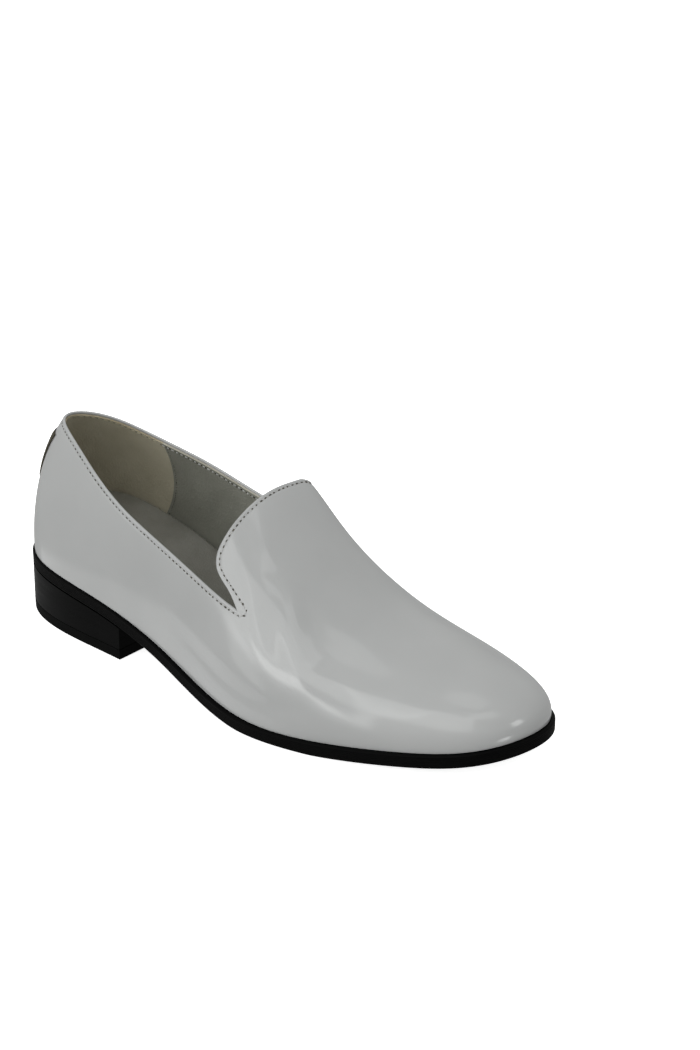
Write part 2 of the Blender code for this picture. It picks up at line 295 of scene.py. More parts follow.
def stacked(loops):
    """Points and faces of a solid through closed loops, capped by rungs across the first and the last loop.

    Point 0 of a loop is its end at the heel's back, and point i lies across from point count - i.
    """
    count = len(loops[0])
    vertices = np.concatenate(loops)
    faces = []
    for step in range(len(loops) - 1):
        for i in range(count):
            low = step * count
            high = low + count
            j = (i + 1) % count
            faces.append((low + i, low + j, high + j, high + i))
    for first in (0, (len(loops) - 1) * count):
        for i in range(count // 2):
            rung = [first + i, first + i + 1, first + (count - i - 1) % count, first + (count - i) % count]
            faces.append(tuple(dict.fromkeys(rung)))
    return vertices, faces


def insole_loop(turn, drop, inset):
    """Loop round the insole, a drop below its top face and an inset in from the wall of the upper."""
    station = station_of(turn)
    height = seat(station) + np.maximum(insole_thickness(station) - drop, 0)
    rise = rise_at(turn, height)
    level_normal = last_normal(turn, rise)[:, :2]
    plan = last_surface(turn, rise)[:, :2] - level_normal * (inset / (level_normal**2).sum(1))[:, None]
    return np.column_stack([plan, height])


def insole_loops():
    """From the underside up the wall, over the rounded edge and in over the dished top to its middle line."""
    turn = np.linspace(0, 2 * pi, 2 * OUTLINE_STEPS, endpoint=False)
    below_edge = insole_thickness(station_of(turn)) - INSOLE_ROUNDING
    wall = [
        insole_loop(turn, INSOLE_ROUNDING + below_edge * share, INSOLE_CLEARANCE)
        for share in INSOLE_WALL_SHARES
    ]
    bends = np.linspace(0, pi / 2, INSOLE_EDGE_STEPS + 1)[1:]
    edge = []
    for bend in bends:
        inset = INSOLE_CLEARANCE + INSOLE_ROUNDING * (1 - cos(bend))
        edge.append(insole_loop(turn, INSOLE_ROUNDING * (1 - sin(bend)), inset))
    rim = edge[-1]
    across = np.roll(rim[::-1], 1, axis=0)
    dish = INSOLE_DISH * insole_thickness(rim[:, 0]) / INSOLE_DISH_THICKNESS
    top = []
    for share in INSOLE_TOP_SHARES:
        loop = rim + (across - rim) * share / 2
        loop[:, 2] -= dish * np.sin(share * pi / 2)
        top.append(loop)
    return wall + edge + top


def new_material(name, roughness):
    """A material's shader, node tree and object coordinates, ready for its nodes."""
    look = bpy.data.materials.new(name)
    look.use_nodes = True
    shader = look.node_tree.nodes["Principled BSDF"]
    shader.inputs["Roughness"].default_value = roughness
    place = look.node_tree.nodes.new("ShaderNodeTexCoord").outputs["Object"]
    return look, shader, place


def add_noise(look, place, scale, detail=2.0):
    """Soft noise over the piece; a scale of 100 gives patches of about a centimetre."""
    noise = look.node_tree.nodes.new("ShaderNodeTexNoise")
    noise.inputs["Scale"].default_value = scale
    noise.inputs["Detail"].default_value = detail
    look.node_tree.links.new(place, noise.inputs["Vector"])
    return noise.outputs["Fac"]


def add_ramp(look, noise, first, last):
    """Colour that goes from first to last over the span in which most of a noise lies."""
    ramp = look.node_tree.nodes.new("ShaderNodeValToRGB")
    for stop, position, colour in zip(ramp.color_ramp.elements, CLOUD_SPAN, (first, last)):
        stop.position = position
        stop.color = (*colour, 1)
    look.node_tree.links.new(noise, ramp.inputs["Fac"])
    return ramp.outputs["Color"]


def add_range(look, noise, low, high):
    """A number that goes from low to high over the span in which most of a noise lies."""
    stretch = look.node_tree.nodes.new("ShaderNodeMapRange")
    stretch.inputs["From Min"].default_value = CLOUD_SPAN[0]
    stretch.inputs["From Max"].default_value = CLOUD_SPAN[1]
    stretch.inputs["To Min"].default_value = low
    stretch.inputs["To Max"].default_value = high
    look.node_tree.links.new(noise, stretch.inputs["Value"])
    return stretch.outputs["Result"]


def add_bump(look, height, depth, under=None):
    """Relief of a depth in metres, laid over the relief under it."""
    bump = look.node_tree.nodes.new("ShaderNodeBump")
    bump.inputs["Strength"].default_value = 1.0
    bump.inputs["Distance"].default_value = depth
    look.node_tree.links.new(height, bump.inputs["Height"])
    if under is not None:
        look.node_tree.links.new(under, bump.inputs["Normal"])
    return bump.outputs["Normal"]


def lining_leather(name, dark, light, pore_scale):
    """Soft matt leather: a cloudy colour, fine pores and a slight unevenness of the hide."""
    look, shader, place = new_material(name, 0.6)
    links = look.node_tree.links
    clouds = add_noise(look, place, scale=60, detail=4)
    links.new(add_ramp(look, clouds, dark, light), shader.inputs["Base Color"])
    pores = look.node_tree.nodes.new("ShaderNodeTexVoronoi")
    pores.inputs["Scale"].default_value = pore_scale
    links.new(place, pores.inputs["Vector"])
    hide = add_bump(look, add_noise(look, place, scale=120, detail=3), depth=0.00025)
    links.new(add_bump(look, pores.outputs["Distance"], depth=0.00012, under=hide), shader.inputs["Normal"])
    dullness = add_range(look, add_noise(look, place, scale=300), low=0.5, high=0.7)
    links.new(dullness, shader.inputs["Roughness"])
    return look


sock_leather = lining_leather(
    "insole_sock_leather", dark=(0.185, 0.18, 0.155), light=(0.225, 0.22, 0.195), pore_scale=1100
)
insole = add_piece("insole_sock", *stacked(insole_loops()), [sock_leather])
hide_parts("insole")
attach(insole, "root")


# Linings: thin leather sewn inside the upper at the top line and lasted under with it. A beige piece goes
# round the heel, a grey one lines the forepart; they meet on each side in a seam that bows forward, where
# the grey edge stands a little proud. The cut edges along the top line are left raw.

NOTCH = 170.0
NOTCH_FOOT = 182.0
Top = namedtuple("Top", "station lateral medial")
TOP = (
    Top(0, 98.6, 98.6),
    Top(15, 96, 96),
    Top(40, 88.8, 89.5),
    Top(80, 74.7, 81.2),
    Top(115, 65.7, 72.6),
    Top(150, 57, 64.7),
    Top(180, 50.5, 57),
)
Tongue = namedtuple("Tongue", "share lateral medial")
TONGUE = (
    Tongue(0, 0, 0),
    Tongue(0.02, 6.5, 6.5),
    Tongue(0.045, 17, 15.5),
    Tongue(0.075, 21.7, 19.5),
    Tongue(0.12, 23.6, 21.4),
    Tongue(0.2, 24.3, 22),
    Tongue(0.34, 24, 21.5),
    Tongue(0.6, 23.2, 20.4),
    Tongue(0.85, 22.6, 20),
    Tongue(1, 21.5, 21.5),
)
LINING_OUTSIDE = 1.3
HEEL_LINING_INSIDE = 1.95
FRONT_LINING_INSIDE = 2.3
LINING_DROP = 1.5
QUARTER_HEIGHT = 60.0
LOWER_PART_END = 3.0
SEAM_TURN = 0.921
SEAM_BOW = 0.42
SEAM_CREST = 0.6
HEEL_LINING_COLUMNS = 96
FRONT_LINING_COLUMNS = 30
SIDE_COLUMNS = 10
VAMP_COLUMNS = 76
LINING_ROWS = 36
PATH_SAMPLES = 240
NOTCH_REACH = 8
TOE_SHARE = 0.9999

top_line = {LATERAL: column(TOP, "lateral"), MEDIAL: column(TOP, "medial")}
tongue_behind = {
    LATERAL: spline([row.share for row in TONGUE], [row.lateral for row in TONGUE]),
    MEDIAL: spline([row.share for row in TONGUE], [row.medial for row in TONGUE]),
}


def quarter_rise(turn, side):
    """Rise of the top line of the quarters."""
    return rise_at(turn, top_line[side](station_of(turn)))


def tongue_edge(side, shares):
    """Turns and rises of the vamp's edge from the notch to the ridge, at shares of its length."""
    share = (1 - np.cos(np.linspace(0, pi, 4 * PATH_SAMPLES))) / 2
    rise_notch = quarter_rise(on_side(turn_of(NOTCH), side), side)
    turn = on_side(turn_of(NOTCH - tongue_behind[side](share)), side)
    rise = rise_notch + (pi / 2 - rise_notch) * share
    steps = np.linalg.norm(np.diff(last_surface(turn, rise), axis=0), axis=1)
    length = np.concatenate([[0], np.cumsum(steps)])
    wanted = length[-1] * shares
    return np.interp(wanted, length, turn), np.interp(wanted, length, rise)


def vamp_path(share, side, turn_end, rise_end):
    """Path of a column of the vamp: up from the feather line and back over the instep to the vamp's edge."""
    turn_foot = on_side(turn_of(NOTCH_FOOT) + (pi - turn_of(NOTCH_FOOT)) * share, side)
    along = np.linspace(0, 1, PATH_SAMPLES)
    if share > TOE_SHARE:
        rise = rise_end * np.clip(2 * along, 0, 1)
        turn = turn_foot + (turn_end - turn_foot) * np.clip(2 * along - 1, 0, 1)
        return turn, rise
    start = (1 - along) ** 2
    corner = 2 * share / (1 - share) * along * (1 - along)
    end = along**2
    turn = (turn_foot * (start + corner) + turn_end * end) / (start + corner + end)
    rise = rise_end * (corner + end) / (start + corner + end)
    return turn, rise


def quarter_path(share, side, turn_end, rise_end):
    """Path of a column of the quarters, up from the feather line; share is 0 at the back, 1 at the notch."""
    along = np.linspace(0, 1, PATH_SAMPLES)
    turn_foot = on_side(share * turn_of(NOTCH_FOOT), side)
    return turn_foot + (turn_end - turn_foot) * along, rise_end * along


def side_paths(side, shares_quarter, shares_vamp, rounding):
    """Paths of all columns of one side, from the back to the middle of the toe, with the notch eased."""
    turn_top = on_side(shares_quarter * turn_of(NOTCH), side)
    rise_top = quarter_rise(turn_top, side)
    edge_turn, edge_rise = tongue_edge(side, shares_vamp[1:])
    turn_end = np.concatenate([turn_top, edge_turn])
    rise_end = np.minimum(np.concatenate([rise_top, edge_rise]), pi / 2)
    notch = len(shares_quarter) - 1
    near = slice(notch - NOTCH_REACH, notch + NOTCH_REACH + 1)
    for _ in range(rounding):
        for ends in (turn_end, rise_end):
            smooth = ends.copy()
            smooth[1:-1] = (ends[:-2] + 2 * ends[1:-1] + ends[2:]) / 4
            ends[near] = smooth[near]
    paths = [
        quarter_path(share, side, turn_end[i], rise_end[i])
        for i, share in enumerate(shares_quarter)
    ]
    paths += [
        vamp_path(share, side, turn_end[notch + i], rise_end[notch + i])
        for i, share in enumerate(shares_vamp[1:], 1)
    ]
    return paths


def along_path(path, below_top, shares_under, depth_under):
    """Turns and rises of a column: rows at shares of its lower part, then rows at distances below its end."""
    turn, rise = path
    steps = np.linalg.norm(np.diff(last_surface(turn, rise), axis=0), axis=1)
    length = np.concatenate([[0], np.cumsum(steps)])
    wanted = np.concatenate([(length[-1] - depth_under) * shares_under, length[-1] - below_top])
    return np.interp(wanted, length, turn), np.interp(wanted, length, rise)


def strip(outer, inner):
    """Points and faces of a closed strip between two grids of columns, and the numbers of its top faces."""
    columns, rows = outer.shape[:2]
    grid = np.concatenate([outer, inner[:, ::-1]], axis=1)
    number = np.arange(columns * 2 * rows).reshape(columns, 2 * rows)
    onward = np.roll(number, -1, axis=1)
    skin = np.stack([number[:-1], number[1:], onward[1:], onward[:-1]], -1)
    top_faces = np.arange((columns - 1) * 2 * rows).reshape(columns - 1, 2 * rows)[:, rows - 1]
    faces = skin.reshape(-1, 4).tolist()
    for end in (number[0], number[-1]):
        faces += [
            (end[i], end[i + 1], end[2 * rows - 2 - i], end[2 * rows - 1 - i])
            for i in range(rows - 1)
        ]
    return grid.reshape(-1, 3), [tuple(int(v) for v in face) for face in faces], top_faces


def seam_share(up):
    """Share of the way from the back to the notch where the linings' seam lies, for a share of the rise."""
    turn = SEAM_TURN - SEAM_BOW * (up - SEAM_CREST) ** 2
    return turn / (turn_of(NOTCH_FOOT) + (turn_of(NOTCH) - turn_of(NOTCH_FOOT)) * up)


def quarter_grid(share, up, side):
    """Turns and rises of points of a quarter, from shares along it and up it."""
    turn_top = on_side(share * turn_of(NOTCH), side)
    turn_foot = on_side(share * turn_of(NOTCH_FOOT), side)
    return turn_foot + (turn_top - turn_foot) * up, quarter_rise(turn_top, side) * up


def lining_piece(name, turn, rise, inside, looks):
    """A lining between its face against the upper and its inner face, with its raw edge along the top."""
    skin = last_surface(turn, rise)
    normal = last_normal(turn, rise)
    outer = skin - LINING_OUTSIDE * normal
    inner = skin - inside * normal
    inner[:, 0, 2] = outer[:, 0, 2]
    vertices, faces, top_faces = strip(outer, inner)
    piece = add_piece(name, vertices, faces, looks)
    for number in top_faces:
        piece.data.polygons[int(number)].material_index = 1
    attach(piece, "root")
    return inner


up_lining = np.linspace(0, 1 - LINING_DROP / QUARTER_HEIGHT, LINING_ROWS)[None, :]
seam = seam_share(up_lining)
across = np.linspace(-1, 1, HEEL_LINING_COLUMNS + 1)[:, None]
heel_grids = [
    quarter_grid(np.abs(across[across[:, 0] < 0]) * seam, up_lining, LATERAL),
    quarter_grid(np.abs(across[across[:, 0] >= 0]) * seam, up_lining, MEDIAL),
]
heel_turn = np.concatenate([grid[0] for grid in heel_grids])
heel_rise = np.concatenate([grid[1] for grid in heel_grids])

ahead = np.linspace(0, 1, FRONT_LINING_COLUMNS + 1)[:, None]
side_shares = np.linspace(0, 1, SIDE_COLUMNS + 1)
toe_shares = np.linspace(0, 1, VAMP_COLUMNS // 2 + 1)
row_shares = np.linspace(0, 1, LINING_ROWS)[:-1]
front_paths = {}
for side in (LATERAL, MEDIAL):
    quarter = quarter_grid(seam + (1 - seam) * ahead, up_lining, side)
    paths = side_paths(side, side_shares, toe_shares, rounding=0)[len(side_shares):]
    rows = [along_path(path, np.array([LINING_DROP]), row_shares, LOWER_PART_END) for path in paths]
    turn = np.concatenate([quarter[0], [row[0] for row in rows]])
    rise = np.concatenate([quarter[1], [row[1] for row in rows]])
    front_paths[side] = (turn, rise)
front_turn = np.concatenate([front_paths[LATERAL][0], front_paths[MEDIAL][0][-2::-1]])
front_rise = np.concatenate([front_paths[LATERAL][1], front_paths[MEDIAL][1][-2::-1]])

heel_raw_edge = lining_leather(
    "heel_lining_raw_edge", dark=(0.30, 0.25, 0.15), light=(0.42, 0.36, 0.24), pore_scale=1500
)
front_raw_edge = lining_leather(
    "front_lining_raw_edge", dark=(0.36, 0.34, 0.28), light=(0.46, 0.44, 0.37), pore_scale=1500
)
heel_lining_leather = lining_leather(
    "heel_lining_leather", dark=(0.395, 0.362, 0.272), light=(0.46, 0.428, 0.33), pore_scale=900
)
front_lining_leather = lining_leather(
    "front_lining_leather", dark=(0.198, 0.198, 0.168), light=(0.24, 0.24, 0.205), pore_scale=900
)
heel_lining_face = lining_piece(
    "heel_lining", heel_turn, heel_rise, HEEL_LINING_INSIDE, [heel_lining_leather, heel_raw_edge]
)
front_lining_face = lining_piece(
    "front_lining", front_turn, front_rise, FRONT_LINING_INSIDE, [front_lining_leather, front_raw_edge]
)


# Upper: white patent leather, lasted over the form and closed at the back. Its top edge is folded over into
# a soft roll, and the sewing pulls a faint furrow beside it. The gloss is a clear plastic film over it, which
# waves a little where the leather was pulled over the last and creases where the foot bends it.

LEATHER_THICKNESS = 1.25
ROLL_RADIUS = 0.62
STITCH_INSET = 2.1
FURROW_DEPTH = 0.26
FURROW_WIDTH = 0.7
RIM_PUFF = 0.16
RIM_PUFF_INSET = 1.1
Crease = namedtuple("Crease", "height width points")
CREASES = (
    Crease(
        0.55,
        6.0,
        ((160, -43, 50), (181, -47, 39), (199, -45, 31), (216, -42, 26), (234, -37, 24), (262, -26, 24)),
    ),
    Crease(-0.55, 4.5, ((122, -41, 33), (146, -46, 26), (165, -50, 21), (187, -51, 18), (212, -46, 17))),
    Crease(
        1.1,
        6.0,
        ((176, -22, 66), (184, -27, 58), (190, -34, 49), (201, -40, 37), (216, -38, 31), (262, -21, 30)),
    ),
    Crease(-0.4, 3.6, ((150, -18, 83), (158, -25, 75), (167, -30, 67))),
    Crease(0.4, 3.6, ((153, -11, 85), (161, -18, 77), (170, -25, 69))),
    Crease(-0.35, 3.0, ((165, -29, 70), (176, -21, 66), (187, -15, 62))),
    Crease(-0.35, 4.0, ((190, -23, 54), (203, -27, 44), (220, -24, 38))),
)
CREASE_SAMPLES = 30
CREASE_FADE = 0.6
QUARTER_COLUMNS = 60
COLUMN_CROWDING = 0.85
LEATHER_ROWS = 64
ROW_CROWDING = 1.3
RIM_ROWS = 12
RIM_STEP = 0.42
RIM_TOP = 1.05
RIM_GAP = 1.2
ROWS_BELOW_RIM = 4
ROLL_STEPS = 8
INNER_ROWS = 18
INNER_TOP = 1.0
NOTCH_ROUNDING = 2


def shares_crowded(count, ends):
    """Shares from 0 to 1 that stand closer together at the start, or at both ends."""
    even = np.linspace(0, 1, count + 1)
    return even - COLUMN_CROWDING * np.sin(ends * pi * even) / (ends * pi)


def rolled_edge(edge, normal):
    """Rows of the folded edge, over the top from the outside to the inside, and the way out of the piece."""
    along = np.roll(edge, -1, axis=0) - np.roll(edge, 1, axis=0)
    away = np.cross(normal, along)
    away /= np.linalg.norm(away, axis=1, keepdims=True)
    rows = []
    for bend in np.linspace(0, pi, ROLL_STEPS + 1):
        lift = ROLL_RADIUS * (sin(bend) - 1)
        sink = ROLL_RADIUS * (1 - cos(bend))
        rows.append(edge + away * lift - normal * sink)
    return np.stack(rows, axis=1), away


def ring(grid):
    """Points and faces of a closed ring: columns run round the shoe, rows round the wall's section."""
    columns, rows = grid.shape[:2]
    number = np.arange(columns * rows).reshape(columns, rows)
    beside = np.roll(number, -1, axis=0)
    faces = np.stack([number, beside, np.roll(beside, -1, axis=1), np.roll(number, -1, axis=1)], -1)
    return grid.reshape(-1, 3), faces.reshape(-1, 4).tolist()


def distance_to(points, line):
    """Distance of each point to the nearest of the points of a line."""
    flat = points.reshape(-1, 3)
    nearest = np.full(len(flat), np.inf)
    for spot in line:
        nearest = np.minimum(nearest, ((flat - spot) ** 2).sum(1))
    return np.sqrt(nearest).reshape(points.shape[:-1])


def crease_relief(points):
    """Lift by the soft ridges and sink by the troughs; each runs out at its ends."""
    flat = points.reshape(-1, 3)
    relief = np.zeros(len(flat))
    for crease in CREASES:
        knots = np.arange(len(crease.points))
        shares = np.linspace(0, 1, CREASE_SAMPLES * len(knots))
        line = np.column_stack([spline(knots, axis)(shares * knots[-1]) for axis in zip(*crease.points)])
        swell = np.zeros(len(flat))
        for spot, fade in zip(line, np.sin(pi * shares) ** CREASE_FADE):
            apart = ((flat - spot) ** 2).sum(1) / crease.width**2
            swell = np.maximum(swell, fade * np.exp(-apart))
        relief += crease.height * swell
    return relief.reshape(points.shape[:-1])


def patent_leather():
    """White leather under a clear film: mirror gloss over slow waves."""
    look, shader, place = new_material("white_patent_leather", 0.3)
    links = look.node_tree.links
    clouds = add_noise(look, place, scale=25, detail=3)
    white = add_ramp(look, clouds, (0.390, 0.394, 0.393), (0.418, 0.422, 0.421))
    links.new(white, shader.inputs["Base Color"])
    shader.inputs["Coat Weight"].default_value = 1.0
    shader.inputs["Coat Roughness"].default_value = 0.03
    shader.inputs["Coat IOR"].default_value = 1.5
    shader.inputs["Specular IOR Level"].default_value = 0.3
    waves = add_bump(look, add_noise(look, place, scale=28, detail=1), depth=0.0006)
    links.new(waves, shader.inputs["Normal"])
    links.new(waves, shader.inputs["Coat Normal"])
    return look


quarter_shares = shares_crowded(QUARTER_COLUMNS, 2)
vamp_shares = shares_crowded(VAMP_COLUMNS, 1)
lateral_paths = side_paths(LATERAL, quarter_shares, vamp_shares, NOTCH_ROUNDING)
medial_paths = side_paths(MEDIAL, quarter_shares, vamp_shares, NOTCH_ROUNDING)
upper_paths = lateral_paths + medial_paths[-2:0:-1]
rim_below = RIM_TOP + RIM_STEP * np.arange(RIM_ROWS)[::-1]
skin_shares = np.linspace(0, 1, LEATHER_ROWS) ** ROW_CROWDING
rim_depth = rim_below[0] + RIM_GAP
skin_rows = np.array([along_path(path, rim_below, skin_shares, rim_depth) for path in upper_paths])
edge_rows = np.array([(path[0][-1], path[1][-1]) for path in upper_paths])
skin = last_surface(skin_rows[:, 0], skin_rows[:, 1])
skin_normal = last_normal(skin_rows[:, 0], skin_rows[:, 1])
top_edge = last_surface(edge_rows[:, 0], edge_rows[:, 1])
top_normal = last_normal(edge_rows[:, 0], edge_rows[:, 1])
roll, top_away = rolled_edge(top_edge, top_normal)

near_rim = slice(skin.shape[1] - RIM_ROWS - ROWS_BELOW_RIM, None)
rim_distance = distance_to(skin[:, near_rim], top_edge)
furrow = FURROW_DEPTH * np.exp(-(((rim_distance - STITCH_INSET) / FURROW_WIDTH) ** 2))
puff = RIM_PUFF * np.exp(-(((rim_distance - RIM_PUFF_INSET) / FURROW_WIDTH) ** 2))
relief = crease_relief(skin)
relief[:, near_rim] += puff - furrow
skin += skin_normal * relief[..., None]

inner_top = np.array([INNER_TOP])
inner_shares = np.linspace(0, 1, INNER_ROWS)
inner_rows = np.array([along_path(path, inner_top, inner_shares, LOWER_PART_END) for path in upper_paths])
inside = last_surface(inner_rows[:, 0], inner_rows[:, 1])
inside -= LEATHER_THICKNESS * last_normal(inner_rows[:, 0], inner_rows[:, 1])
inside[:, 0, 2] = skin[:, 0, 2]
leather_points, leather_faces = ring(np.concatenate([skin, roll, inside[:, ::-1]], axis=1))
upper = add_piece("upper_leather", leather_points, leather_faces, [patent_leather()], sharp_angle=60)
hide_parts("upper")
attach(upper, "root")


# Top line stitching: one lockstitch row through upper and linings just below the folded edge, in white thread
# outside and on the front lining and in beige on the heel lining. After each stitch sits a dark bead, painted
# shade for its needle hole. A finer dark row holds the front lining's rear edge down on the heel lining.

STITCH_PITCH = 2.8
STITCH_INSET_INSIDE = 2.4
SEAM_STITCH_AHEAD = 0.008
SEAM_STITCH_SPAN = (0.02, 0.93)
SEAM_SAMPLES = 60
PATH_STEP = 0.35
EASING_ROUNDS = 8
THREAD_LIFT = 0.03
FRONT_THREAD_LIFT = 0.05
MIDDLE_DROP = 8.0
FAR_SIDE = 1000.0
FAR_UP = 500.0
BEAD_SEGMENTS = 8
BEAD_RINGS = 4
SMALLEST_BEAD = (0.65, 0.7, 0.8)
LARGEST_BEAD = (1.2, 1.15, 1.1)
STITCH_SIZES = (
    "Pitch",
    "Thread Length",
    "Thread Width",
    "Thread Height",
    "Hole Length",
    "Hole Width",
    "Hole Height",
)
Stitch = namedtuple("Stitch", [size.lower().replace(" ", "_") for size in STITCH_SIZES])
OUTSIDE_STITCH = Stitch(STITCH_PITCH, 1.7, 0.7, 0.42, 1.5, 0.9, 0.2)
FRONT_STITCH = Stitch(STITCH_PITCH, 1.9, 0.75, 0.55, 1.3, 0.85, 0.16)
HEEL_STITCH = Stitch(STITCH_PITCH, 1.9, 0.6, 0.4, 0.9, 0.5, 0.1)
SEAM_STITCH = Stitch(2.2, 1.2, 0.55, 0.3, 0.8, 0.6, 0.14)


def stitch_tree():
    """Geometry nodes: a thread bead and a dark bead of painted needle-hole shade after it, uneven, at each
    pitch of a path.
    """
    tree = bpy.data.node_groups.new("stitch_row", "GeometryNodeTree")
    tree.interface.new_socket("Path", in_out="INPUT", socket_type="NodeSocketGeometry")
    for name in STITCH_SIZES:
        tree.interface.new_socket(name, in_out="INPUT", socket_type="NodeSocketFloat")
    for name in ("Thread Material", "Hole Material"):
        tree.interface.new_socket(name, in_out="INPUT", socket_type="NodeSocketMaterial")
    tree.interface.new_socket("Seed", in_out="INPUT", socket_type="NodeSocketInt")
    tree.interface.new_socket("Stitches", in_out="OUTPUT", socket_type="NodeSocketGeometry")
    new = tree.nodes.new
    link = tree.links.new
    given = new("NodeGroupInput")
    result = new("NodeGroupOutput")

    def beads(kind, shift):
        ball = new("GeometryNodeMeshUVSphere")
        ball.inputs["Segments"].default_value = BEAD_SEGMENTS
        ball.inputs["Rings"].default_value = BEAD_RINGS
        ball.inputs["Radius"].default_value = 0.5
        size = new("ShaderNodeCombineXYZ")
        for axis, measure in zip("XYZ", ("Length", "Width", "Height")):
            link(given.outputs[f"{kind} {measure}"], size.inputs[axis])
        shaped = new("GeometryNodeTransform")
        link(ball.outputs["Mesh"], shaped.inputs["Geometry"])
        link(size.outputs["Vector"], shaped.inputs["Scale"])
        onward = new("ShaderNodeMath")
        onward.operation = "MULTIPLY"
        onward.inputs[1].default_value = shift
        link(given.outputs["Pitch"], onward.inputs[0])
        move = new("ShaderNodeCombineXYZ")
        link(onward.outputs["Value"], move.inputs["X"])
        link(move.outputs["Vector"], shaped.inputs["Translation"])
        smooth = new("GeometryNodeSetShadeSmooth")
        link(shaped.outputs["Geometry"], smooth.inputs["Geometry"])
        sewn = new("GeometryNodeInstanceOnPoints")
        link(spots.outputs["Curve"], sewn.inputs["Points"])
        link(smooth.outputs["Geometry"], sewn.inputs["Instance"])
        link(follow.outputs["Rotation"], sewn.inputs["Rotation"])
        link(uneven.outputs["Value"], sewn.inputs["Scale"])
        real = new("GeometryNodeRealizeInstances")
        link(sewn.outputs["Instances"], real.inputs["Geometry"])
        dyed = new("GeometryNodeSetMaterial")
        link(real.outputs["Geometry"], dyed.inputs["Geometry"])
        link(given.outputs[f"{kind} Material"], dyed.inputs["Material"])
        return dyed.outputs["Geometry"]

    curve = new("GeometryNodeMeshToCurve")
    link(given.outputs["Path"], curve.inputs["Mesh"])
    spots = new("GeometryNodeResampleCurve")
    spots.mode = "LENGTH"
    link(curve.outputs["Curve"], spots.inputs["Curve"])
    link(given.outputs["Pitch"], spots.inputs["Length"])
    lie = new("GeometryNodeInputNamedAttribute")
    lie.data_type = "FLOAT_VECTOR"
    lie.inputs["Name"].default_value = "lie"
    stand = new("FunctionNodeAlignRotationToVector")
    stand.axis = "Z"
    link(lie.outputs["Attribute"], stand.inputs["Vector"])
    follow = new("FunctionNodeAlignRotationToVector")
    follow.axis = "X"
    follow.pivot_axis = "Z"
    link(stand.outputs["Rotation"], follow.inputs["Rotation"])
    link(new("GeometryNodeInputTangent").outputs["Tangent"], follow.inputs["Vector"])
    uneven = new("FunctionNodeRandomValue")
    uneven.data_type = "FLOAT_VECTOR"
    uneven.inputs["Min"].default_value = SMALLEST_BEAD
    uneven.inputs["Max"].default_value = LARGEST_BEAD
    link(given.outputs["Seed"], uneven.inputs["Seed"])
    both = new("GeometryNodeJoinGeometry")
    link(beads("Thread", shift=0), both.inputs["Geometry"])
    link(beads("Hole", shift=0.5), both.inputs["Geometry"])
    link(both.outputs["Geometry"], result.inputs["Stitches"])
    return tree


def make_plain(piece, modifier):
    """Give a piece the plain mesh that its modifier makes, and remove the modifier."""
    evaluated = piece.evaluated_get(bpy.context.evaluated_depsgraph_get())
    piece.data = bpy.data.meshes.new_from_object(evaluated)
    piece.data.name = piece.name
    piece.modifiers.remove(modifier)


def sewn_row(name, points, normals, stitch, thread_look, hole_look, seed, slot):
    """A plain mesh of a row of stitches along points that lie on a piece."""
    mesh = bpy.data.meshes.new(name + "_path")
    spots = [tuple(point) for point in placed(points)]
    mesh.from_pydata(spots, [(i, i + 1) for i in range(len(spots) - 1)], [])
    lie = mesh.attributes.new("lie", "FLOAT_VECTOR", "POINT")
    lie.data.foreach_set("vector", np.asarray(normals, np.float32).ravel())
    row = bpy.data.objects.new(name, mesh)
    bpy.context.collection.objects.link(row)
    sewing = row.modifiers.new("sewing", "NODES")
    sewing.node_group = stitch_rows
    sockets = [item for item in stitch_rows.interface.items_tree if item.in_out == "INPUT"]
    values = [size * MM for size in stitch] + [thread_look, hole_look, seed]
    for socket, value in zip(sockets[1:], values):
        sewing[socket.identifier] = value
    make_plain(row, sewing)
    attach(row, "root")


def eased(points):
    """The same line with evenly spaced points and its sharp corners rounded a little."""
    length = np.concatenate([[0], np.cumsum(np.linalg.norm(np.diff(points, axis=0), axis=1))])
    wanted = np.arange(0, length[-1], PATH_STEP)
    line = np.column_stack([np.interp(wanted, length, points[:, i]) for i in range(3)])
    for _ in range(EASING_ROUNDS):
        line[1:-1] = (line[:-2] + 2 * line[1:-1] + line[2:]) / 4
    return line


def laid_on(points, tree, away_from, lift):
    """Points moved to the nearest place on a surface and lifted off it, away from a given point."""
    spots = []
    normals = []
    for point in points:
        place, normal, _, _ = tree.find_nearest(Vector(point))
        normal = np.array(normal)
        if normal @ (np.array(place) - away_from(point)) < 0:
            normal = -normal
        spots.append(np.array(place) + normal * lift)
        normals.append(normal)
    return np.array(spots), np.array(normals)


def thread(name, dark, light):
    """Twisted waxed thread: fine diagonal strands and a cloudy dye; also the cloudy painted shade of needle
    holes.
    """
    look, shader, place = new_material(name, 0.45)
    links = look.node_tree.links
    links.new(add_ramp(look, add_noise(look, place, scale=900), dark, light), shader.inputs["Base Color"])
    strands = look.node_tree.nodes.new("ShaderNodeTexWave")
    strands.bands_direction = "DIAGONAL"
    strands.inputs["Scale"].default_value = 900
    links.new(place, strands.inputs["Vector"])
    links.new(add_bump(look, strands.outputs["Fac"], depth=0.00008), shader.inputs["Normal"])
    return look


def grid_quads(number):
    """Faces of an open grid of numbered points."""
    return np.stack([number[:-1, :-1], number[:-1, 1:], number[1:, 1:], number[1:, :-1]], -1).reshape(-1, 4)


def face_tree(face):
    """A surface to lay stitches on, from the inner face of a lining."""
    number = np.arange(face[..., 0].size).reshape(face.shape[:2])
    return BVHTree.FromPolygons([tuple(point) for point in face.reshape(-1, 3)], grid_quads(number).tolist())


def inside_middle(point):
    """A point on the middle line of the shoe's inside, a little below a given one."""
    return np.array([point[0], ridge_side(point[0]), point[2] - MIDDLE_DROP])


